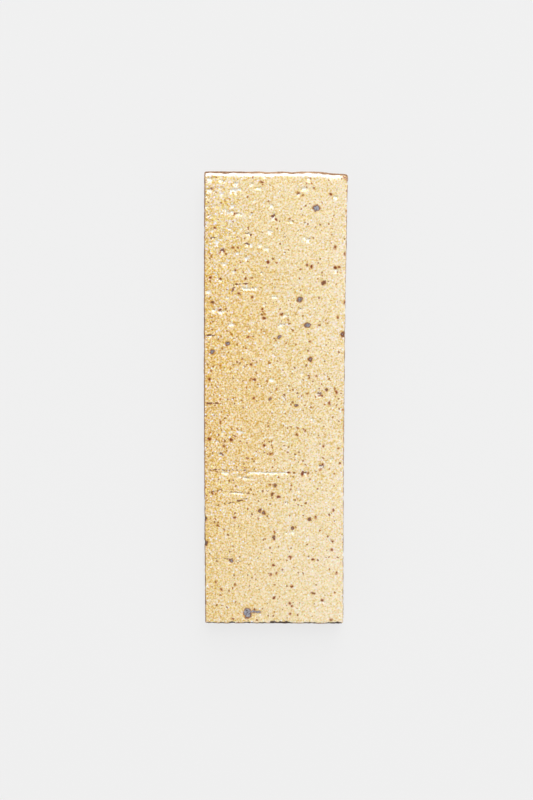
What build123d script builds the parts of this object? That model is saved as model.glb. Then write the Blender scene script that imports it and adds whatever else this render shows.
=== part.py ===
"""Thin brick tile: one piece of fired clay with a glazed face, for bonding to a wall.

The clay is pressed through a die as a wide, thin column that travels along X. The die gives the tile its long
section: rounded face arrises at the two short ends, and dovetail keys in the back that hold the mortar.
Wires then cut the column to width, which leaves the two long sides plain and a little bowed, and the glaze
softens their edges at the face and at the ends.
The tile lies on its back, glazed face up, with its origin at the middle of the back.
"""

import os

from build123d import *

# Driving dimensions, in millimetres
length = 203.0  # along Y, between the short ends
width = 63.5  # along X, between the wire cuts
thickness = 13.0  # along Z, from the back to the glazed face

far_arris_radius = 2.5  # rounding of the face at the +Y end, where the glaze rolls over
near_arris_radius = 1.0  # rounding of the face at the -Y end
end_back_chamfer = 0.8  # edge broken off the back at each short end
wire_arris_radius = 0.6  # softened edge where a wire cut meets the glaze

left_bow = 0.4  # how far the left side swells out at mid-length
right_bow = 0.6  # how far the right side draws in at mid-length

key_mouth = 6.0  # width of a key at the back
key_depth = 1.6
key_undercut = 0.5  # how far each flank leans in behind the back
key_floor_radius = 0.4
key_pitch = 15.0
end_land = 12.0  # least plain back left beyond the outer keys

half_length = length / 2
half_width = width / 2
right_waist = half_width - right_bow  # where the right side draws in most

# The wire cuts run past the ends by one thickness, and a bow grows with the square of its reach
cut_reach = half_length + thickness
bow_growth = (cut_reach / half_length) ** 2
left_cut_bow = left_bow * bow_growth
right_cut_bow = right_bow * bow_growth

# Keys sit in pairs about the middle, so that a plain land is left under the tile's centre
key_pairs = int((half_length - end_land - key_mouth / 2) / key_pitch + 0.5)
key_floor = key_mouth + 2 * key_undercut
key_throat = key_mouth - 2 * key_undercut  # the same flanks carried one depth below the back

with BuildPart() as tile:
    # Clay column as the die shapes it, longer than the tile is wide
    with BuildSketch(Plane.YZ) as column_section:
        Rectangle(length, thickness, align=(Align.CENTER, Align.MIN))
        with GridLocations(key_pitch, 0, 2 * key_pairs, 1):
            Polygon(
                (-key_throat / 2, -key_depth),
                (key_throat / 2, -key_depth),
                (key_floor / 2, key_depth),
                (-key_floor / 2, key_depth),
                align=None,
                mode=Mode.SUBTRACT,
            )
        key_corners = column_section.vertices().group_by(Axis.Y)[1]
        fillet(key_corners, radius=key_floor_radius)
        far_corner = column_section.vertices().group_by(Axis.Y)[-1].sort_by(Axis.X)[-1]
        fillet(far_corner, radius=far_arris_radius)
        near_corner = column_section.vertices().group_by(Axis.Y)[-1].sort_by(Axis.X)[0]
        fillet(near_corner, radius=near_arris_radius)
        back_corners = column_section.vertices().group_by(Axis.Y)[0].sort_by(Axis.X)
        chamfer([back_corners[0], back_corners[-1]], length=end_back_chamfer)
    extrude(amount=width, both=True)

    # Wire cuts, seen from above
    with BuildSketch() as wire_cut_plan:
        with BuildLine():
            left_side = ThreePointArc(
                (-half_width + left_cut_bow, -cut_reach),
                (-half_width, 0),
                (-half_width + left_cut_bow, cut_reach),
            )
            far_end = Line(left_side @ 1, (right_waist + right_cut_bow, cut_reach))
            right_side = ThreePointArc(
                far_end @ 1,
                (right_waist, 0),
                (right_waist + right_cut_bow, -cut_reach),
            )
            Line(right_side @ 1, left_side @ 0)
        make_face()
    extrude(amount=2 * thickness, both=True, mode=Mode.INTERSECT)

    # Softened edges, which run on round the end arrises and down the ends
    face_edges = tile.faces().sort_by(Axis.Z)[-1].edges().sort_by(Axis.X)
    fillet([face_edges[0], face_edges[-1]], radius=wire_arris_radius)

tile.part.label = "brick_tile"

os.makedirs("parts", exist_ok=True)
export_step(tile.part, "parts/brick_tile.step")
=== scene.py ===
"""Thin brick tile: one glazed tile lying on a pale floor, seen from above.

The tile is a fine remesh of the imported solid. Its marks are painted on as attributes, geometry nodes press
the relief in, and two finishes cover it: speckled glaze on the face, bare fired clay on the sides and back.
"""

import math

import bpy
import numpy as np
from mathutils import Matrix, Vector, noise


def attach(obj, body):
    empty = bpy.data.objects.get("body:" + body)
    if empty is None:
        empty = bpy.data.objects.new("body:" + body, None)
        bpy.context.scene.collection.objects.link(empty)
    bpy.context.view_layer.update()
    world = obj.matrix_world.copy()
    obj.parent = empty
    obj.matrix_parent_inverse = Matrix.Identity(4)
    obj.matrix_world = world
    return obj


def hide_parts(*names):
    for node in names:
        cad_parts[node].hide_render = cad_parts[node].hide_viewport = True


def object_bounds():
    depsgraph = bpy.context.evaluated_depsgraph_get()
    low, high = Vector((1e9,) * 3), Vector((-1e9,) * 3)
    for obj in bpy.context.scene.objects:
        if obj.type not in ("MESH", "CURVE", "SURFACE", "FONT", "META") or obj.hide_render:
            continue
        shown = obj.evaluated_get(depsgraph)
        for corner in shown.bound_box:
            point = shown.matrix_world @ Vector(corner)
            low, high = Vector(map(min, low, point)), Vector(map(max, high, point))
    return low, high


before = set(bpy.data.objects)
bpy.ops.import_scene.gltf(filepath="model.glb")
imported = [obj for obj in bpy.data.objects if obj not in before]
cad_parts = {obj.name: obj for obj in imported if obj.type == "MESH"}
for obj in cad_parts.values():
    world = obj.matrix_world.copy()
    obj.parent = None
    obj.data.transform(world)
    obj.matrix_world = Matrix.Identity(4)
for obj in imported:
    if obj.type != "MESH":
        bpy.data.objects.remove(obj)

cad_low, cad_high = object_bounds()

MM = 0.001
mark_seed = 5
noise.seed_set(mark_seed)

# Camera, fitted to the photo's frame of 533 by 800 pixels
photo_width = 533
photo_height = 800
sensor_length = 36.0
lens_length = 45.0
camera_distance = 445.7 * MM
camera_tilt = math.radians(4.96)
camera_roll = math.radians(0.19)
camera_aside = -3.70 * MM
camera_along = 0.84 * MM

# Stage, in metres. A lamp's level is its brightness, and the air's is the light from all round
floor_size = 8
floor_glow = 0.88  # share of the floor that shows its own tone
lamp_reach = 4.8
lamp_aside = 0.5
lamp_width = 2.6
tall_lamp_length = 6.0
tall_lamp_lean = math.radians(56)
tall_lamp_level = 4.25
small_lamp_length = 1.5
small_lamp_lean = math.radians(31)
small_lamp_level = 4.2
air_level = 0.88
overhead_level = 0.12

# Mesh sizes
face_grain = 0.52 * MM
merge_gap = 0.001 * MM
smooth_angle = math.radians(45)

# Where the back and the sides end, in millimetres above the floor, and the share of faces kept there
back_below = 2.6
back_share = 0.07
sides_below = 11.0
sides_share = 0.4

# Relief, in millimetres
dent_depth = 0.35
warp_depth = 0.15
peel_depth = 0.10
far_end_wave = 0.22
wire_drag_depth = 0.25
wire_tear_depth = 0.3
side_wave = 0.12
side_grit = 0.06
chip_depth = 0.25
iron_depth = 0.1
deepest_pit = 0.42
corner_sag = 1.0
far_end_dip = 0.8

# Marks, in millimetres: how softly their outlines end, and how far the smaller faces reach round them
iron_margin = 0.8
speck_margin = 0.6
chip_margin = 0.4
refined_round_mark = 0.4
refined_round_tear = 1.4
refined_below = 1.4

# Places on the tile, in millimetres
face_height = cad_high.z / MM
half_width = cad_high.x / MM
half_length = cad_high.y / MM
pixel_size = camera_distance / MM / (lens_length / sensor_length * photo_height)

# Iron spots in the glaze: centre, width and height in the photo, in pixels, and how grey the middle is
iron_spots = [
    (247.4, 613.2, 8.5, 11, 1.0),
    (256, 612, 9, 2.8, 1.4),
    (254.5, 609.8, 3, 1.8, 0.3),
    (316, 208, 7.5, 6.5, 1.0),
    (307.5, 325.3, 6.5, 4.8, 0.95),
    (310.3, 359.5, 5, 5.2, 0.8),
    (299.7, 299.4, 5.8, 5.8, 0.95),
    (212, 352, 4.5, 5.5, 1.0),
    (227.7, 343.3, 4.2, 4.4, 0.95),
    (323.5, 283, 4.5, 4.5, 0.75),
    (343, 334.5, 4.8, 5.2, 0.65),
    (279, 337.2, 4.4, 3.8, 1.0),
    (275, 486, 3.8, 3.8, 0.95),
    (272, 494, 3.6, 3.6, 0.6),
    (270.3, 399, 3.6, 3.6, 1.0),
    (296, 405.7, 4, 3.6, 0.95),
    (309.5, 519.3, 4, 3.8, 0.75),
    (273.5, 538, 3.6, 4.6, 0.85),
    (292.5, 528.5, 3.5, 3.7, 0.8),
    (260, 511, 3, 4.2, 0.8),
    (264, 513, 3.4, 4.2, 0.85),
    (206, 543.5, 4, 5, 0.75),
    (205.5, 519, 2.5, 5, 0.6),
    (231, 560.5, 3.8, 3.8, 0.95),
    (326.5, 389.5, 3, 3.4, 0.9),
    (212, 302.5, 4.2, 3.2, 0.6),
    (313, 593.3, 3.2, 2.5, 0.2),
]

# Small brown specks, the same way
brown_specks = [
    (331, 194, 3, 3),
    (335, 247, 3, 4),
    (311.5, 267, 3, 3.5),
    (307, 265, 3, 2.5),
    (268, 262, 3, 3),
    (235.5, 270, 2.5, 2.5),
    (233, 248, 2.5, 3),
    (238, 248, 2.5, 2.5),
    (215, 227.5, 2.5, 2.5),
    (210.5, 277.5, 3, 3),
    (220, 279, 2.5, 2.5),
    (245.5, 278.5, 2.5, 3),
    (252, 278, 3, 2.5),
    (281.5, 314.5, 3.5, 3.5),
    (262.5, 308.5, 3, 3),
    (264, 318, 3.5, 3),
    (337.5, 317.5, 3, 3.5),
    (288, 320, 2, 2.5),
    (310, 341.5, 2.5, 2.5),
    (248.5, 337, 3, 2.5),
    (251.5, 364.5, 3, 2.5),
    (253.5, 398.5, 3.5, 3),
    (209.5, 379, 3, 2.5),
    (316, 376.5, 2.5, 2),
    (336.5, 392.5, 3, 4),
    (329.5, 403.5, 2.5, 4),
    (220.5, 422, 2, 3),
    (231, 440, 3.5, 4),
    (224, 446, 3, 3),
    (209.5, 439, 4, 4),
    (264, 445.5, 2.5, 3.5),
    (323.5, 446, 2.5, 3),
    (338.5, 448, 2.5, 2.5),
    (247, 458, 2.5, 2.5),
    (297, 434.7, 2.5, 2.5),
    (305.5, 431, 2.5, 2.5),
    (278.5, 497, 3.5, 3),
    (290.5, 489.5, 2.5, 2.5),
    (270, 485, 2.5, 2.5),
    (333.5, 510, 3, 3),
    (315.5, 517, 2.5, 4),
    (217.5, 525, 3, 3),
    (290, 557, 4, 3),
    (313, 560, 3, 3),
    (331.5, 550, 3, 3),
    (332.5, 541.5, 3, 3),
    (270.5, 575, 2.5, 3),
    (276.5, 574, 2.5, 3),
    (273, 565.5, 3.5, 3),
    (336.5, 572.5, 2.5, 3),
    (291.5, 586.5, 3, 3),
    (235, 584, 2.5, 4),
    (216, 582, 2.5, 3.5),
    (221.5, 589.5, 2.5, 3),
    (274, 598, 3, 3),
    (322.5, 600.5, 3.5, 3),
    (289.5, 603.5, 2.5, 3),
    (292, 606, 2.5, 2.5),
    (290.5, 614, 3, 3),
    (331, 620, 4, 2.5),
    (233, 619, 3, 2),
    (262, 182, 3.5, 3),
    (212, 188.5, 3, 2.5),
    (234.5, 213.5, 2.5, 2.5),
    (302.5, 195.3, 3, 2.5),
    (298, 193, 2.5, 2),
    (335, 267.6, 4, 3.5),
    (339, 267, 4, 3),
    (289, 473, 3, 3),
    (219.5, 309.5, 3.5, 3),
    (239, 293, 3.5, 2.5),
    (252.5, 297, 3, 3),
    (254.5, 379.5, 4, 3),
    (250, 380.5, 2.5, 2),
    (307.5, 393.3, 3, 2),
    (271, 453.8, 4, 2.5),
    (234, 517.5, 3.5, 2.5),
    (345, 175.5, 4, 3),
    (346.5, 211, 2.5, 3),
    (347, 190.5, 2.5, 4),
    (345, 254, 2.5, 4),
    (344.5, 302, 3, 4),
    (344.5, 427, 2.5, 6),
    (302.3, 474.5, 2.3, 4.5),
    (308.3, 473, 2.2, 3.5),
    (220.2, 252.5, 2, 3),
    (224.3, 251.5, 2, 3),
    (276, 219.6, 2.5, 2.5),
    (320.5, 395.8, 4.5, 2.3),
    (322.8, 464.3, 2.3, 3),
    (320, 469.7, 2.3, 3),
]

# Pits, whose lower wall catches the light: centre, width and height, in pixels, and how dark the upper lip
# is painted, brown clay with painted shade
glaze_pits = [
    (273.5, 217.8, 7, 6, 1.0),
    (251.5, 184, 6, 4, 0.0),
    (258.5, 188.5, 7, 4, 0.0),
    (209.5, 190.5, 8, 5, 0.2),
    (210, 180, 8, 5, 0.0),
    (222, 181, 6, 4, 0.0),
    (236, 184, 7, 4, 0.0),
    (234, 190.5, 8, 5, 0.0),
    (247.8, 234.6, 7, 5, 0.9),
    (247, 245, 5, 4, 0.9),
    (222.2, 251.8, 5.5, 5.5, 1.0),
    (213.4, 239, 5, 4, 1.0),
    (224.5, 210.5, 5, 4.5, 0.1),
    (228, 213.5, 6, 4.5, 0.2),
    (232.5, 212.5, 6, 6, 0.2),
    (238.5, 214.5, 6, 4, 0.4),
    (210, 216.5, 7, 4, 0.0),
    (216, 206.5, 5, 3.5, 0.2),
    (304, 189.3, 9, 4.5, 0.0),
    (299, 195, 6, 4.5, 0.4),
    (335, 197.3, 5, 4.5, 0.0),
    (336.3, 271.5, 6, 5, 0.0),
    (308.3, 240.5, 6, 5, 0.3),
    (304, 238.5, 4, 4, 0.0),
    (290.4, 222, 7, 4, 0.0),
    (269.5, 232.3, 6, 4.5, 0.0),
    (271.5, 206.5, 5, 5, 0.0),
    (260.5, 245.5, 5, 4.5, 0.1),
    (266.5, 249.5, 6, 4.5, 0.0),
    (224.6, 265.5, 6, 5, 0.3),
    (220.5, 281, 5, 4, 0.1),
    (216.5, 276, 4, 4, 0.1),
    (308.5, 180, 5, 5, 0.0),
    (261.5, 273.5, 4, 4, 0.6),
    (208, 292.3, 6, 5, 0.0),
    (214.5, 310.8, 8, 4.5, 0.1),
    (221, 312.3, 9, 4, 0.0),
    (231.5, 325, 9, 4.5, 0.5),
    (210.5, 336.5, 9, 4, 1.0),
    (274, 297.5, 8, 4, 0.0),
    (281.5, 325.8, 8, 5, 0.4),
    (300.5, 309.5, 4, 4, 0.7),
    (249.8, 331.5, 3.5, 6, 0.0),
    (271, 381, 8, 4, 0.1),
    (319, 395.5, 7, 5, 0.8),
    (284.5, 315.8, 5, 3.5, 0.0),
    (214.5, 367.5, 3.5, 6, 0.2),
    (224.5, 357.5, 4, 5, 0.0),
    (301.5, 374.5, 7, 4, 0.0),
    (240.5, 433.5, 5.5, 7, 0.2),
    (217.5, 442.5, 5, 5, 0.3),
    (222, 433.5, 4.5, 4, 0.4),
    (220.5, 455.5, 6, 5, 1.0),
    (305, 474.8, 8, 6.5, 1.0),
    (320.5, 468, 7, 7, 0.7),
    (331, 460.5, 5, 4.5, 0.2),
    (299, 492, 5, 4.5, 0.0),
    (286, 503.7, 5, 4, 0.5),
    (260.5, 517, 6, 5, 0.0),
    (311.5, 420, 5, 4, 0.1),
    (230, 563, 6, 4.5, 0.0),
    (264, 551, 6, 4, 0.0),
    (322.5, 602.5, 7, 4, 0.3),
    (330.5, 541.5, 4, 4, 0.0),
    (270, 529, 5, 4, 0.0),
    (286.5, 533.5, 5, 4, 0.2),
    (292.5, 533.5, 5, 4, 0.2),
    (239.5, 476.8, 5, 3, 0.0),
    (249, 478.5, 5.5, 3, 0.0),
]

# Tears that the clay column dragged across the face: from and to, in pixels, depth in millimetres, and how
# dark the upper edge is painted, brown clay with painted shade
face_tears = [
    (209, 470.6, 246, 470.8, 0.08, 0.65),
    (221, 472.8, 229, 473.0, 0.42, 0.0),
    (247, 472.5, 288.5, 472.8, 0.45, 0.15),
    (237, 476.5, 252, 478.8, 0.25, 0.5),
    (209, 493, 216, 492, 0.08, 0.9),
    (214, 492, 222, 489.8, 0.10, 1.0),
    (222, 492.5, 246, 493, 0.24, 0.5),
    (224, 504.5, 238, 502.5, 0.10, 0.75),
    (236, 502, 247.5, 499, 0.08, 1.0),
    (206.5, 404, 218.5, 404, 0.05, 1.5),
    (214, 558.6, 229, 559, 0.04, 0.5),
    (233, 561, 246, 562, 0.04, 0.45),
    (241, 287.8, 257, 288.2, 0.40, 0.2),
    (234, 284.3, 253, 284.3, 0.10, 0.8),
    (231.5, 292, 235.5, 288, 0.10, 1.0),
]

# Chips along the edges, where the glaze has come off, painted dark partly as the shade along the edge:
# centre, width and height, in pixels
edge_chips = [
    (211, 624, 10, 4),
    (222, 624, 5, 3.5),
    (232, 623.5, 6, 4.5),
    (249, 624, 13, 3),
    (263, 624, 9, 3),
    (272.5, 623, 4, 5),
    (283, 624, 21, 5),
    (310, 624, 12, 3.5),
    (334, 624, 16, 4),
    (204.8, 518.5, 2, 7),
    (204.8, 543.5, 3, 5),
]


def colour(red, green, blue):
    """A screen colour, 0 to 255, as the linear value that a shader takes."""
    parts = []
    for part in (red, green, blue):
        share = part / 255
        parts.append(share / 12.92 if share <= 0.04045 else ((share + 0.055) / 1.055) ** 2.4)
    return (*parts, 1.0)


def smooth(low, high, value):
    """A soft step from 0 at low to 1 at high."""
    share = np.clip((value - low) / (high - low), 0, 1)
    return share * share * (3 - 2 * share)


def add(tree, kind, inputs=None, **settings):
    """A node with its settings, and its inputs linked or set."""
    node = tree.nodes.new(kind)
    for name, value in settings.items():
        setattr(node, name, value)
    for name, value in (inputs or {}).items():
        if isinstance(value, bpy.types.NodeSocket):
            tree.links.new(value, node.inputs[name])
        else:
            node.inputs[name].default_value = value
    return node


def calc(tree, operation, *values):
    """The result of one sum."""
    return add(tree, "ShaderNodeMath", dict(enumerate(values)), operation=operation).outputs[0]


def vector_calc(tree, operation, *values):
    """The result of one sum on vectors."""
    return add(tree, "ShaderNodeVectorMath", dict(enumerate(values)), operation=operation).outputs[0]


def step(tree, value, low, high, at_low=0.0, at_high=1.0):
    """A soft step between two values of an input."""
    inputs = {"Value": value, "From Min": low, "From Max": high, "To Min": at_low, "To Max": at_high}
    return add(tree, "ShaderNodeMapRange", inputs, interpolation_type="SMOOTHSTEP").outputs[0]


def noise_at(tree, place, scale, detail=2.0, roughness=0.5):
    """Noise of a given scale, about 0.5."""
    inputs = {"Vector": place, "Scale": scale, "Detail": detail, "Roughness": roughness}
    return add(tree, "ShaderNodeTexNoise", inputs).outputs[0]


def blend(tree, share, first, second):
    """A mix of two colours."""
    node = add(tree, "ShaderNodeMix", {0: share, 6: first, 7: second}, data_type="RGBA")
    return node.outputs[2]


paper_tone = colour(239, 239, 239)

# Camera
camera_turn = Matrix.Rotation(-camera_tilt, 3, "X")
face_centre = Vector((0, 0, cad_high.z))
camera_place = face_centre + camera_turn @ Vector((camera_aside, camera_along, camera_distance))
camera_axes = camera_turn @ Matrix.Rotation(camera_roll, 3, "Z")


def make_camera():
    bpy.ops.object.camera_add(location=camera_place, rotation=camera_axes.to_euler())
    camera = bpy.context.object
    camera.name = "photo_camera"
    camera.data.lens = lens_length
    camera.data.sensor_width = sensor_length
    camera.data.clip_start = 10 * MM
    bpy.context.scene.camera = camera


def on_face(across, down):
    """Where a pixel of the photo falls on the glazed face, in millimetres."""
    focal = lens_length / sensor_length * photo_height
    ray = Vector(((across - photo_width / 2) / focal, (photo_height / 2 - down) / focal, -1))
    ray = camera_axes @ ray
    reach = (cad_high.z - camera_place.z) / ray.z
    hit = camera_place + reach * ray
    return hit.x / MM, hit.y / MM


# Stage
def lay_floor():
    """A pale paper floor. Most of what is seen of it is its own tone, so that shadows stay light."""
    bpy.ops.mesh.primitive_plane_add(size=floor_size)
    floor = bpy.context.object
    floor.name = "paper_floor"
    material = bpy.data.materials.new("pale_paper")
    material.use_nodes = True
    tree = material.node_tree
    tree.nodes.clear()
    paper = add(tree, "ShaderNodeBsdfDiffuse", {"Color": paper_tone})
    glow = add(tree, "ShaderNodeEmission", {"Color": paper_tone, "Strength": 1.0})
    rays = add(tree, "ShaderNodeLightPath")
    seen = calc(tree, "MAXIMUM", rays.outputs["Is Camera Ray"], rays.outputs["Is Glossy Ray"])
    seen = calc(tree, "MAXIMUM", seen, rays.outputs["Is Transmission Ray"])
    share = calc(tree, "MULTIPLY", seen, floor_glow)
    mixed = add(tree, "ShaderNodeMixShader", {0: share, 1: paper.outputs[0], 2: glow.outputs[0]})
    add(tree, "ShaderNodeOutputMaterial", {"Surface": mixed.outputs[0]})
    floor.data.materials.append(material)


def softbox(name, lean, lamp_length, level):
    """A rectangular lamp of an even brightness beyond the far end, at an angle from straight above."""
    back = Vector((0, math.sin(lean), math.cos(lean)))
    place = lamp_reach * back + Vector((lamp_aside, 0, 0))
    turn = back.to_track_quat("Z", "Y").to_euler()
    bpy.ops.object.light_add(type="AREA", location=place, rotation=turn)
    lamp = bpy.context.object
    lamp.name = name
    lamp.data.shape = "RECTANGLE"
    lamp.data.size = lamp_width
    lamp.data.size_y = lamp_length
    lamp.data.energy = level * math.pi * lamp_width * lamp_length
    lamp.visible_camera = False
    return lamp


def light_studio():
    """A tall softbox, a small one above it, and light from all round that fades overhead.

    The gloss mirrors only the small lamp, so that the glaze keeps its colour when seen from the near end.
    """
    tall = softbox("tall_softbox", tall_lamp_lean, tall_lamp_length, tall_lamp_level)
    tall.visible_glossy = False
    softbox("small_softbox", small_lamp_lean, small_lamp_length, small_lamp_level)
    world = bpy.data.worlds.new("studio_air")
    bpy.context.scene.world = world
    world.use_nodes = True
    tree = world.node_tree
    tree.nodes.clear()
    direction = add(tree, "ShaderNodeTexCoord").outputs["Generated"]
    height = add(tree, "ShaderNodeSeparateXYZ", {0: direction}).outputs[2]
    level = step(tree, height, 0.5, 0.9, air_level, overhead_level)
    fill = add(tree, "ShaderNodeBackground", {"Color": (1, 1, 1, 1), "Strength": level})
    add(tree, "ShaderNodeOutputWorld", {"Surface": fill.outputs[0]})


# Tile mesh
def remeshed_tile():
    """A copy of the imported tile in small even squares."""
    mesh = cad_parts["brick_tile"].data.copy()
    mesh.materials.clear()
    tile = bpy.data.objects.new("glazed_brick_tile", mesh)
    bpy.context.scene.collection.objects.link(tile)
    bpy.ops.object.select_all(action="DESELECT")
    tile.select_set(True)
    bpy.context.view_layer.objects.active = tile
    bpy.ops.object.mode_set(mode="EDIT")
    bpy.ops.mesh.select_all(action="SELECT")
    bpy.ops.mesh.remove_doubles(threshold=merge_gap)
    bpy.ops.object.mode_set(mode="OBJECT")
    bpy.ops.object.modifier_add(type="REMESH")
    remesh = tile.modifiers[-1]
    remesh.mode = "VOXEL"
    remesh.voxel_size = face_grain
    bpy.ops.object.modifier_apply(modifier=remesh.name)
    return tile


def mesh_points(tile):
    """The mesh's points, in millimetres."""
    places = np.empty(len(tile.data.vertices) * 3)
    tile.data.vertices.foreach_get("co", places)
    return places.reshape(-1, 3) / MM


def face_centres(tile):
    """The middles of the mesh's faces, in millimetres."""
    places = np.empty(len(tile.data.polygons) * 3)
    tile.data.polygons.foreach_get("center", places)
    return places.reshape(-1, 3) / MM


def edit_faces(tile, chosen):
    """Edit mode, with the chosen faces selected."""
    bpy.ops.object.mode_set(mode="EDIT")
    bpy.ops.mesh.select_mode(type="FACE")
    bpy.ops.mesh.select_all(action="DESELECT")
    bpy.ops.object.mode_set(mode="OBJECT")
    tile.data.polygons.foreach_set("select", chosen)
    bpy.ops.object.mode_set(mode="EDIT")


def thin_back_and_sides(tile):
    """Fewer faces on the sides, and fewer still on the plain back."""
    for low, high, share in ((back_below, sides_below, sides_share), (-1.0, back_below, back_share)):
        heights = face_centres(tile)[:, 2]
        edit_faces(tile, (heights >= low) & (heights < high))
        bpy.ops.mesh.decimate(ratio=share)
        bpy.ops.object.mode_set(mode="OBJECT")


# Marks on the mesh
def wander(points, scale):
    """Smooth random steps across and along the face, each from about -1 to 1."""
    return np.array([noise.noise_vector(Vector((x, y, 0.0)) * scale)[:2] for x, y in points])


def oval_share(points, mark):
    """Where points lie in an oval mark, as shares of its half sizes, and the smaller of the two."""
    across, down, width, height = mark[:4]
    x, y = on_face(across, down)
    half_x = width / 2 * pixel_size
    half_y = height / 2 * pixel_size
    return (points[:, 0] - x) / half_x, (points[:, 1] - y) / half_y, min(half_x, half_y)


def oval_depth(points, mark, margin):
    """How deep points lie inside an oval mark: a half on its outline, all of it one margin further in."""
    u, v, half = oval_share(points, mark)
    return np.clip(0.5 + (1 - np.hypot(u, v)) * half / (2 * margin), 0, 1)


def spots(points, marks, margin):
    """How deep points lie inside the deepest of some oval marks."""
    return np.maximum.reduce([oval_depth(points, mark, margin) for mark in marks])


def grey_middles(points):
    """How grey the iron spots are."""
    return np.maximum.reduce([mark[4] * oval_depth(points, mark, iron_margin) for mark in iron_spots])


def chips(places, ragged):
    """How deep points lie inside the chips, which bite the arris and end in a ragged line below it."""
    below = face_height - places[:, 2]
    uneven = np.array([noise.noise(Vector(place) * 0.8) for place in places])
    return spots(ragged, edge_chips, chip_margin) * smooth(1.5, 0.5, below + 0.9 * uneven)


def pits(points):
    """Depth of the pits, each with a short upper wall and a long lower one, and the brown of its lip, partly
    painted shade.
    """
    upper_run = 0.6
    lower_run = 2 - upper_run
    steepness = 0.4
    lip_radius = 0.75
    depth = np.zeros(len(points))
    lip_and_shade = np.zeros(len(points))
    breaks = 0.35 + 0.65 * smooth(-0.2, 0.15, wander(points, 1.3)[:, 0])
    for mark in glaze_pits:
        u, v, half = oval_share(points, mark)
        wall = np.minimum((v + 1) / lower_run, (1 - v) / upper_run)
        hollow = np.clip(1 - u**2, 0, 1) * np.clip(wall, 0, 1)
        depth = np.maximum(depth, min(deepest_pit, steepness * half) * hollow)
        lean = 1.6 * noise.noise(Vector((mark[0], mark[1], 0)) * 0.37)
        upper = v * math.cos(lean) + u * math.sin(lean)
        ring = smooth(0.5, 0.15, np.abs(np.hypot(u, v) - lip_radius)) * smooth(-0.4, 0.4, upper)
        lip_and_shade = np.maximum(lip_and_shade, mark[4] * ring * breaks)
    return depth, lip_and_shade


def along_tear(points, tear):
    """Where points lie on a tear: the share of its run, and how far to its upper side, in millimetres."""
    start = np.array(on_face(tear[0], tear[1]))
    run = np.array(on_face(tear[2], tear[3])) - start
    share = ((points - start) @ run) / (run @ run)
    return share, (points[:, 1] - start[1]) - share * run[1]


def tears(points):
    """Depth of the tears, and the brown line along their upper side, partly painted shade."""
    lip_offset = 0.25
    end_fade = 0.04
    depth = np.zeros(len(points))
    lip_and_shade = np.zeros(len(points))
    sway = wander(points, 0.35)
    flutter = wander(points, 1.1)
    shiver = wander(points, 2.3)
    uneven = 0.85 + 0.5 * sway[:, 0] + 0.55 * flutter[:, 0]
    breaks = 0.2 + 0.8 * smooth(-0.3, 0.2, wander(points, 0.9)[:, 0] + 0.6 * shiver[:, 0])
    for tear in face_tears:
        share, aside = along_tear(points, tear)
        aside = aside + 0.3 * sway[:, 1] + 0.35 * flutter[:, 1] + 0.2 * shiver[:, 1]
        ends = smooth(-end_fade, end_fade, share) * smooth(1 + end_fade, 1 - end_fade, share)
        upper_wall = smooth(0.4, 0.0, aside)
        lower_wall = smooth(-1.1, -0.1, aside)
        depth = np.maximum(depth, tear[4] * uneven * ends * upper_wall * lower_wall)
        line = smooth(0.55, 0.15, np.abs(aside - lip_offset))
        lip_and_shade = np.maximum(lip_and_shade, tear[5] * ends * line * breaks)
    return depth, lip_and_shade


def side_gap(places):
    """How far points lie inside the tile's two long sides."""
    rows = np.round(places[:, 1]).astype(int)
    gap = np.empty(len(places))
    for row in np.unique(rows):
        inside = rows == row
        x = places[inside, 0]
        gap[inside] = np.minimum(x - x.min(), x.max() - x)
    return gap


def bare_clay(places):
    """How far the glaze has drawn back to the clay: at the sides, over the ends and at one corner. At the
    near end this brown line is partly painted shade.
    """
    from_right = half_width - places[:, 0]
    from_far_end = half_length - places[:, 1]
    from_near_end = half_length + places[:, 1]
    below_face = face_height - places[:, 2]
    uneven = np.array([noise.noise(Vector((x + y, 0, 0)) * 0.3) for x, y, z in places])
    line_width = 1 - 0.45 * smooth(0, half_width, places[:, 0])
    sides = smooth(0.8 * line_width, 0.3 * line_width, side_gap(places) + 0.3 * uneven)
    far_end = smooth(1.2, 0.8, from_far_end + 0.4 * uneven)
    # The brown line at the near end is partly painted shade along that edge.
    near_end_and_shade = smooth(0.9, 0.3, from_near_end)
    below = smooth(1.5, 2.5, below_face)
    right_corner = 0.55 * smooth(2.6, 1.0, from_right + 1.2 * uneven) * smooth(7.0, 3.0, from_far_end)
    return np.maximum.reduce([sides, far_end, near_end_and_shade, below, right_corner])


def painted_far_arris_gleam(places):
    """Where a pale band is painted along the far arris, short of the two corners: a painted highlight."""
    along = smooth(2.4, 1.9, half_length - places[:, 1])
    left = smooth(0.5, 1.6, half_width + places[:, 0])
    right = smooth(2.6, 4.4, half_width - places[:, 0])
    return along * left * right


def far_end_slump(places):
    """How far the far end has sagged towards the middle, most at its right corner, in millimetres."""
    from_far_end = half_length - places[:, 1]
    at_right = smooth(half_width - 16.0, half_width + 2.0, places[:, 0])
    dips = np.array([noise.noise(Vector((x, 0, 9)) * 0.13) for x in places[:, 0]])
    sagged = corner_sag * at_right * smooth(14.0, 0.0, from_far_end)
    return sagged + far_end_dip * np.clip(dips + 0.1, 0, 1) * smooth(7.0, 1.0, from_far_end)


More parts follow.
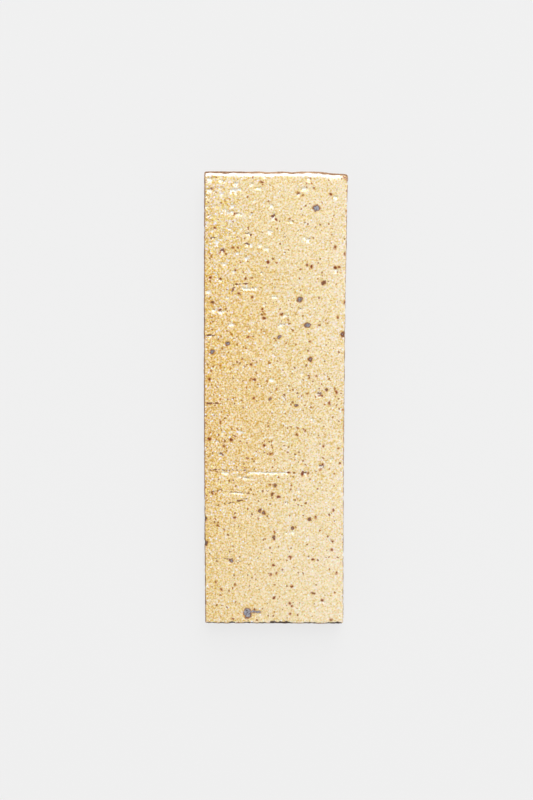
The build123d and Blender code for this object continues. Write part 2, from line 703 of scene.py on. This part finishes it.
def refine_marks(tile):
    """Smaller faces at the marks and along the arrises."""
    centres = face_centres(tile)
    below = face_height - centres[:, 2]
    at_face = below < refined_below
    near = (side_gap(centres) < 0.9) & (below < 1.0)
    near |= centres[:, 1] > half_length - 3.0
    near |= (centres[:, 1] < 1.2 - half_length) & at_face
    for mark in iron_spots + brown_specks + glaze_pits + edge_chips:
        u, v, half = oval_share(centres, mark)
        near |= (np.hypot(u, v) < 1 + refined_round_mark / half) & at_face
    for tear in face_tears:
        share, aside = along_tear(centres[:, :2], tear)
        near |= (np.abs(share - 0.5) < 0.55) & (np.abs(aside) < refined_round_tear) & at_face
    edit_faces(tile, near & (below < 2 * refined_below))
    bpy.ops.mesh.subdivide(number_cuts=1)
    bpy.ops.object.mode_set(mode="OBJECT")


def paint(tile, name, values):
    """One number for each point of the mesh, kept as an attribute."""
    layer = tile.data.attributes.new(name, "FLOAT", "POINT")
    layer.data.foreach_set("value", values.astype(np.float32))


def paint_marks(tile):
    """Iron spots, specks, pits, tears and chips, each at its place on the face, and what the edges show,
    with painted highlights in the pits and along the far arris and painted shade at lips and chips.
    """
    places = mesh_points(tile)
    upper = places[:, 2] > sides_below
    flat = places[upper, :2]
    ragged = flat + 0.5 * wander(flat, 0.9)
    torn = flat + 0.4 * wander(flat, 0.6) + 0.5 * wander(flat, 1.4)
    pit_depth, pit_lip_and_shade = pits(torn)
    tear_depth, tear_lip_and_shade = tears(flat)
    layers = {
        "iron": spots(ragged, iron_spots, iron_margin),
        "ash": grey_middles(ragged),
        "speck": spots(ragged, brown_specks, speck_margin),
        # The chips, painted dark partly as painted shade along the edges.
        "chip_and_shade": chips(places[upper], ragged),
        # The depth of the pits and tears also paints them pale inside: a painted highlight.
        "pit_and_gleam": np.maximum(pit_depth, tear_depth),
        # Brown lips above the pits and tears, partly painted shade.
        "lip_and_shade": np.maximum(pit_lip_and_shade, tear_lip_and_shade),
    }
    for name, values in layers.items():
        whole = np.zeros(len(places))
        whole[upper] = values
        paint(tile, name, whole)
    paint(tile, "bare", bare_clay(places))
    paint(tile, "slump", far_end_slump(places))
    paint(tile, "wire_cut", smooth(1.2, 0.6, side_gap(places)))
    # A pale band painted along the far arris: a painted highlight.
    paint(tile, "far_arris_gleam", painted_far_arris_gleam(places))


# Relief
def stored(tree, name):
    """A painted layer, in geometry nodes."""
    return add(tree, "GeometryNodeInputNamedAttribute", {"Name": name}, data_type="FLOAT").outputs[0]


def dented_share(tree, in_mm, parts):
    """Where the glaze is dented, which is most at the far left corner and not on the far arris."""
    from_left = step(tree, parts[0], -half_width, 0.6 * half_width, 1.0, 0.0)
    from_top = step(tree, parts[1], -0.1 * half_length, 0.9 * half_length)
    rough_corner = calc(tree, "MULTIPLY", from_left, from_top)
    streaked = vector_calc(tree, "MULTIPLY", in_mm, (0.42, 0.62, 0.42))
    dents = noise_at(tree, streaked, 1.0, 3.0)
    edge = calc(tree, "MULTIPLY_ADD", rough_corner, -0.13, 0.68)
    bottom = calc(tree, "ADD", edge, 0.14)
    short_of_end = step(tree, parts[1], half_length - 6.0, half_length - 2.0, 1.0, 0.0)
    return calc(tree, "MULTIPLY", step(tree, dents, edge, bottom), short_of_end)


def face_relief(tree, in_mm, parts, dented, wavy):
    """How deep the face lies: dents, a slow warp, the glaze's peel, and waves at the far end."""
    warp = step(tree, noise_at(tree, in_mm, 0.03, 1.0), 0.3, 0.7)
    peel = step(tree, noise_at(tree, in_mm, 0.35, 2.0), 0.2, 0.8)
    at_far_end = step(tree, parts[1], half_length - 6.0, half_length - 2.0)
    depth = calc(tree, "MULTIPLY", dented, dent_depth)
    depth = calc(tree, "MULTIPLY_ADD", warp, warp_depth, depth)
    depth = calc(tree, "MULTIPLY_ADD", peel, peel_depth, depth)
    return calc(tree, "MULTIPLY_ADD", calc(tree, "MULTIPLY", wavy, at_far_end), far_end_wave, depth)


def side_relief(tree, in_mm, coarse, wavy):
    """How deep the sides and back lie: waves and grit, and the drags and tears of the wire cuts."""
    dragged = vector_calc(tree, "MULTIPLY", in_mm, (0.5, 0.5, 0.06))
    drags = step(tree, noise_at(tree, dragged, 1.0, 2.0), 0.5, 0.75)
    torn = step(tree, noise_at(tree, in_mm, 0.3, 2.0), 0.58, 0.72)
    cut = calc(tree, "MULTIPLY_ADD", drags, wire_drag_depth, calc(tree, "MULTIPLY", torn, wire_tear_depth))
    cut = calc(tree, "MULTIPLY", cut, stored(tree, "wire_cut"))
    depth = calc(tree, "MULTIPLY_ADD", wavy, side_wave, calc(tree, "MULTIPLY", coarse, side_grit))
    return calc(tree, "ADD", depth, cut)


def relief_tree(glaze, clay):
    """Geometry nodes that sink the surface by its marks and relief, and bare the clay at edges and chips."""
    tree = bpy.data.node_groups.new("fired_relief", "GeometryNodeTree")
    tree.interface.new_socket("Geometry", in_out="INPUT", socket_type="NodeSocketGeometry")
    tree.interface.new_socket("Geometry", in_out="OUTPUT", socket_type="NodeSocketGeometry")
    given = add(tree, "NodeGroupInput")
    place = add(tree, "GeometryNodeInputPosition").outputs[0]
    normal = add(tree, "GeometryNodeInputNormal").outputs[0]
    in_mm = vector_calc(tree, "MULTIPLY", place, (1 / MM, 1 / MM, 1 / MM))
    parts = add(tree, "ShaderNodeSeparateXYZ", {0: in_mm}).outputs
    upward = add(tree, "ShaderNodeSeparateXYZ", {0: normal}).outputs[2]
    on_top = step(tree, upward, 0.4, 0.9)
    on_side = calc(tree, "SUBTRACT", 1.0, on_top)
    coarse = step(tree, noise_at(tree, in_mm, 0.8, 3.0), 0.3, 0.75)
    wavy = step(tree, noise_at(tree, in_mm, 0.14, 3.0), 0.3, 0.7)
    dented = calc(tree, "MULTIPLY", dented_share(tree, in_mm, parts), on_top)

    depth = calc(tree, "MULTIPLY_ADD", stored(tree, "chip_and_shade"), chip_depth, stored(tree, "pit_and_gleam"))
    depth = calc(tree, "MULTIPLY_ADD", stored(tree, "iron"), iron_depth, depth)
    depth = calc(tree, "MULTIPLY_ADD", face_relief(tree, in_mm, parts, dented, wavy), on_top, depth)
    depth = calc(tree, "MULTIPLY_ADD", side_relief(tree, in_mm, coarse, wavy), on_side, depth)
    inward = {0: normal, "Scale": calc(tree, "MULTIPLY", depth, -MM)}
    moved = add(tree, "ShaderNodeVectorMath", inward, operation="SCALE").outputs[0]
    moved = vector_calc(tree, "ADD", place, moved)
    slump = calc(tree, "MULTIPLY", stored(tree, "slump"), -MM)
    moved = vector_calc(tree, "ADD", moved, add(tree, "ShaderNodeCombineXYZ", {1: slump}).outputs[0])
    moved = vector_calc(tree, "MINIMUM", moved, tuple(cad_high))
    moved = vector_calc(tree, "MAXIMUM", moved, tuple(cad_low))

    # The dents are stored so that they can be painted pale: a painted highlight.
    noted = {"Geometry": given.outputs[0], "Name": "dent_gleam", "Value": dented}
    noted = add(tree, "GeometryNodeStoreNamedAttribute", noted, data_type="FLOAT", domain="POINT")
    pressed = add(tree, "GeometryNodeSetPosition", {"Geometry": noted.outputs[0], "Position": moved})
    ragged = calc(tree, "MULTIPLY_ADD", coarse, 0.4, stored(tree, "bare"))
    bared = calc(tree, "GREATER_THAN", calc(tree, "MAXIMUM", ragged, stored(tree, "chip_and_shade")), 0.75)
    glazed = add(tree, "GeometryNodeSetMaterial", {"Geometry": pressed.outputs[0], "Material": glaze})
    inputs = {"Geometry": glazed.outputs[0], "Selection": bared, "Material": clay}
    finished = add(tree, "GeometryNodeSetMaterial", inputs)
    add(tree, "NodeGroupOutput", {0: finished.outputs[0]})
    return tree


def press_relief(tile):
    """The relief made part of the mesh, with sharp edges kept."""
    bpy.ops.object.modifier_add(type="NODES")
    relief = tile.modifiers[-1]
    relief.node_group = relief_tree(speckled_glaze(), fired_clay())
    bpy.ops.object.modifier_apply(modifier=relief.name)
    bpy.ops.object.shade_smooth_by_angle(angle=smooth_angle)


# Finishes
def painted(tree, name):
    """A painted layer, in a material."""
    return add(tree, "ShaderNodeAttribute", attribute_name=name).outputs["Fac"]


def scatter(tree, surface, place, dimensions, kind, uneven, crowding=0.0):
    """Ragged dots over a surface: their scale, rarity, softness, largest radius, cover and two shades."""
    scale, rarity, soft, most, cover, pale, deep = kind
    raggedness = 0.8
    cells = {"Vector": place, "Scale": scale}
    cells = add(tree, "ShaderNodeTexVoronoi", cells, voronoi_dimensions=dimensions).outputs
    chances = add(tree, "ShaderNodeSeparateColor", {0: cells["Color"]}).outputs
    radius = step(tree, calc(tree, "ADD", chances[2], crowding), rarity, 1.0, 0.0, most)
    away = calc(tree, "DIVIDE", cells["Distance"], scale)
    away = calc(tree, "MULTIPLY_ADD", uneven, raggedness, away)
    share = step(tree, calc(tree, "SUBTRACT", radius, away), 0.0, soft, 0.0, cover)
    return blend(tree, share, surface, blend(tree, chances[0], pale, deep))


def glaze_tone(tree, in_mm, parts, uneven):
    """How pale the glaze is, from grain to grain and from one part of the face to another."""
    patch = calc(tree, "SUBTRACT", noise_at(tree, in_mm, 0.1, 2.0), 0.5)
    strength = step(tree, parts[1], -0.9 * half_length, -0.3 * half_length, 1.82, 2.34)
    strength = calc(tree, "ADD", strength, step(tree, parts[0], -half_width, 0.0, 0.4, 0.0))
    strength = calc(tree, "SUBTRACT", strength, step(tree, parts[1], 15.0, 55.0, 0.0, 0.2))
    tone = calc(tree, "MULTIPLY_ADD", uneven, strength, 0.49)
    tone = calc(tree, "MULTIPLY_ADD", patch, 0.12, tone)
    # Paler towards the right and towards the near end.
    tone = calc(tree, "MULTIPLY_ADD", parts[0], 0.11 / half_width, tone)
    tone = calc(tree, "MULTIPLY_ADD", parts[1], -0.035 / half_length, tone)
    from_middle = calc(tree, "ABSOLUTE", parts[1])
    tone = calc(tree, "SUBTRACT", tone, step(tree, from_middle, 0.0, 0.65 * half_length, 0.03, -0.03))
    amber = step(tree, parts[0], -half_width, 9 - half_width, 0.04, 0.0)
    tone = calc(tree, "SUBTRACT", tone, amber)
    # The top-left corner is painted paler: a painted highlight for its glints.
    far_left_gleam = step(tree, parts[0], -half_width, 10.0, 1.0, 0.0)
    far_left_gleam = calc(tree, "MULTIPLY", far_left_gleam, step(tree, parts[1], 70.0, 90.0))
    return calc(tree, "MULTIPLY_ADD", far_left_gleam, 0.09, tone)


def glaze_ground(tree, tone, parts):
    """The glaze's colour at each tone, and warmer left of the middle."""
    ramp = add(tree, "ShaderNodeValToRGB", {0: tone})
    stops = ramp.color_ramp.elements
    stops[0].position = 0.05
    stops[0].color = colour(212, 163, 68)
    stops[1].position = 1.0
    stops[1].color = colour(255, 244, 226)
    for position, shade in ((0.28, (232, 199, 128)), (0.5, (242, 221, 170)), (0.72, (251, 232, 198))):
        stops.new(position).color = colour(*shade)
    warmth = step(tree, parts[0], -12.0, 8.0, 1.0, 0.0)
    warmth = calc(tree, "MULTIPLY", warmth, step(tree, parts[1], 40.0, 75.0, 1.0, 0.0))
    warmth = calc(tree, "MULTIPLY", warmth, step(tree, parts[1], -60.0, -30.0, 0.5, 1.0))
    tint = {0: warmth, 6: ramp.outputs[0], 7: (1.005, 0.965, 0.905, 1)}
    return add(tree, "ShaderNodeMix", tint, data_type="RGBA", blend_type="MULTIPLY").outputs[2]


def stray_hue(tree, surface, in_mm, parts):
    """The surface with its hue pinker or yellower from grain to grain, most at the left."""
    stray = add(tree, "ShaderNodeTexNoise", {"Vector": in_mm, "Scale": 1.6, "Detail": 1.0}).outputs["Color"]
    stray = vector_calc(tree, "SUBTRACT", stray, (0.5, 0.5, 0.5))
    stray = add(tree, "ShaderNodeSeparateXYZ", {0: stray}).outputs
    pinker = calc(tree, "MULTIPLY", stray[2], step(tree, parts[0], -half_width, 0.0, 3.0, 1.5))
    pinker = calc(tree, "MULTIPLY", pinker, step(tree, parts[1], -90.0, -40.0, 0.65, 1.0))
    tint = vector_calc(tree, "MULTIPLY_ADD", pinker, (-0.08, -0.03, 1.0), (1, 1, 1))
    tint = vector_calc(tree, "MULTIPLY_ADD", stray[1], (0.42, -0.24, 0.06), tint)
    return vector_calc(tree, "MULTIPLY", surface, tint)


def speckled_glaze():
    """Glossy straw-coloured glaze with freckles, iron spots and the stains of its marks, among them painted
    highlights and painted shade.
    """
    material = bpy.data.materials.new("speckled_glaze")
    material.use_nodes = True
    tree = material.node_tree
    shader = tree.nodes["Principled BSDF"]
    place = add(tree, "ShaderNodeTexCoord").outputs["Object"]
    in_mm = vector_calc(tree, "MULTIPLY", place, (1 / MM, 1 / MM, 1 / MM))
    parts = add(tree, "ShaderNodeSeparateXYZ", {0: in_mm}).outputs
    grain = noise_at(tree, in_mm, 1.3, 2.0, 0.55)
    uneven = calc(tree, "SUBTRACT", grain, 0.5)
    surface = glaze_ground(tree, glaze_tone(tree, in_mm, parts, uneven), parts)

    # Freckles crowd together in a band across the middle, most at its left
    from_band = calc(tree, "ABSOLUTE", calc(tree, "ADD", parts[1], 3.0))
    crowding = step(tree, from_band, 15.0, 55.0, 0.17, 0.0)
    crowding = calc(tree, "MULTIPLY", crowding, step(tree, parts[0], -half_width, half_width, 1.0, 0.2))
    flat = vector_calc(tree, "MULTIPLY", in_mm, (1, 1, 0))
    freckles = (
        (0.45, 0.74, 0.10, 0.48, 0.85, colour(184, 112, 16), colour(136, 72, 0)),
        (0.2, 0.5, 0.20, 0.65, 0.85, colour(184, 112, 16), colour(136, 72, 0)),
        # Pale flecks, partly the glaze's own specks and partly painted highlights for small glints.
        (0.5, 0.36, 0.15, 0.46, 0.95, colour(255, 246, 222), colour(255, 255, 250)),
    )
    for kind in freckles:
        surface = scatter(tree, surface, flat, "2D", kind, uneven, crowding)
    surface = stray_hue(tree, surface, in_mm, parts)

    # Painted layers: how ragged their edge is, where it starts and ends, their strength and their shade
    ashen = blend(tree, step(tree, grain, 0.35, 0.65), colour(96, 96, 102), colour(176, 181, 193))
    stains = (
        # A painted highlight along the far arris.
        ("far_arris_gleam", 0.8, 0.35, 0.65, 0.95, colour(255, 252, 244)),
        # A painted highlight in the dents.
        ("dent_gleam", 0.8, 0.3, 0.6, 0.95, colour(255, 254, 250)),
        # A painted highlight in the pits and tears.
        ("pit_and_gleam", 0.35, 0.15, 0.29, 0.9, colour(255, 251, 238)),
        ("speck", 0.9, 0.25, 0.5, 0.6, colour(196, 118, 36)),
        ("speck", 0.9, 0.52, 0.78, 0.95, colour(124, 52, 2)),
        # Brown lips, partly painted shade.
        ("lip_and_shade", 0.9, 0.2, 0.6, 0.9, colour(122, 48, 14)),
        ("iron", 1.0, 0.25, 0.5, 0.7, colour(188, 124, 60)),
        ("iron", 1.0, 0.45, 0.65, 0.95, colour(124, 74, 42)),
        ("ash", 0.9, 0.58, 0.92, 0.9, ashen),
        ("bare", 0.9, 0.3, 0.7, 0.95, colour(166, 102, 48)),
        # Dark chips, partly painted shade along the edges.
        ("chip_and_shade", 0.8, 0.3, 0.6, 0.95, colour(82, 64, 54)),
    )
    for name, ragged, low, high, most, shade in stains:
        edge = calc(tree, "MULTIPLY_ADD", uneven, ragged, painted(tree, name))
        surface = blend(tree, step(tree, edge, low, high, 0.0, most), surface, shade)
    tree.links.new(surface, shader.inputs["Base Color"])

    dullness = noise_at(tree, in_mm, 0.6, 2.0)
    tree.links.new(step(tree, dullness, 0.3, 0.7, 0.16, 0.34), shader.inputs["Roughness"])
    shader.inputs["IOR"].default_value = 1.55
    shader.inputs["Coat Weight"].default_value = 1.0
    shader.inputs["Coat Roughness"].default_value = 0.04
    shader.inputs["Coat IOR"].default_value = 1.7
    ripple = noise_at(tree, in_mm, 1.6, 2.0)
    bump = add(tree, "ShaderNodeBump", {"Strength": 0.2, "Distance": 0.08 * MM, "Height": ripple})
    tree.links.new(bump.outputs[0], shader.inputs["Normal"])
    tree.links.new(bump.outputs[0], shader.inputs["Coat Normal"])
    return material


def fired_clay():
    """Bare gritty clay, streaked along the column on the back and ends and down the wire cuts."""
    material = bpy.data.materials.new("fired_clay")
    material.use_nodes = True
    tree = material.node_tree
    shader = tree.nodes["Principled BSDF"]
    place = add(tree, "ShaderNodeTexCoord").outputs["Object"]
    in_mm = vector_calc(tree, "MULTIPLY", place, (1 / MM, 1 / MM, 1 / MM))
    die_streak = noise_at(tree, vector_calc(tree, "MULTIPLY", in_mm, (0.12, 0.9, 0.9)), 1.0, 3.0)
    wire_streak = noise_at(tree, vector_calc(tree, "MULTIPLY", in_mm, (0.9, 0.9, 0.12)), 1.0, 3.0)
    streaks = {0: painted(tree, "wire_cut"), 2: die_streak, 3: wire_streak}
    streak = add(tree, "ShaderNodeMix", streaks).outputs[0]
    grit = noise_at(tree, in_mm, 1.2, 4.0, 0.7)
    uneven = calc(tree, "SUBTRACT", grit, 0.5)
    cloud = noise_at(tree, in_mm, 0.05, 3.0)
    tone = calc(tree, "MULTIPLY_ADD", uneven, 1.4, 0.5)
    tone = calc(tree, "MULTIPLY_ADD", calc(tree, "SUBTRACT", streak, 0.5), 0.35, tone)
    tone = calc(tree, "MULTIPLY_ADD", calc(tree, "SUBTRACT", cloud, 0.5), 0.7, tone)
    surface = blend(tree, step(tree, tone, 0.15, 0.85), colour(112, 78, 54), colour(186, 146, 108))
    grog = (
        (0.55, 0.55, 0.15, 0.45, 0.75, colour(206, 172, 134), colour(206, 172, 134)),
        (0.45, 0.55, 0.15, 0.50, 0.85, colour(92, 58, 38), colour(92, 58, 38)),
        (0.16, 0.50, 0.30, 0.90, 0.90, colour(66, 44, 34), colour(66, 44, 34)),
    )
    for kind in grog:
        surface = scatter(tree, surface, in_mm, "3D", kind, uneven)
    # Dark chips, partly painted shade along the edges.
    surface = blend(tree, step(tree, painted(tree, "chip_and_shade"), 0.3, 0.7), surface, colour(72, 56, 46))
    tree.links.new(surface, shader.inputs["Base Color"])
    tree.links.new(step(tree, grit, 0.3, 0.7, 0.72, 0.9), shader.inputs["Roughness"])
    height = calc(tree, "MULTIPLY_ADD", streak, 0.5, grit)
    bump = add(tree, "ShaderNodeBump", {"Strength": 0.7, "Distance": 0.3 * MM, "Height": height})
    tree.links.new(bump.outputs[0], shader.inputs["Normal"])
    return material


bpy.context.scene.view_settings.view_transform = "Standard"
make_camera()
lay_floor()
light_studio()
tile = remeshed_tile()
thin_back_and_sides(tile)
refine_marks(tile)
paint_marks(tile)
press_relief(tile)
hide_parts("brick_tile")
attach(tile, "root")
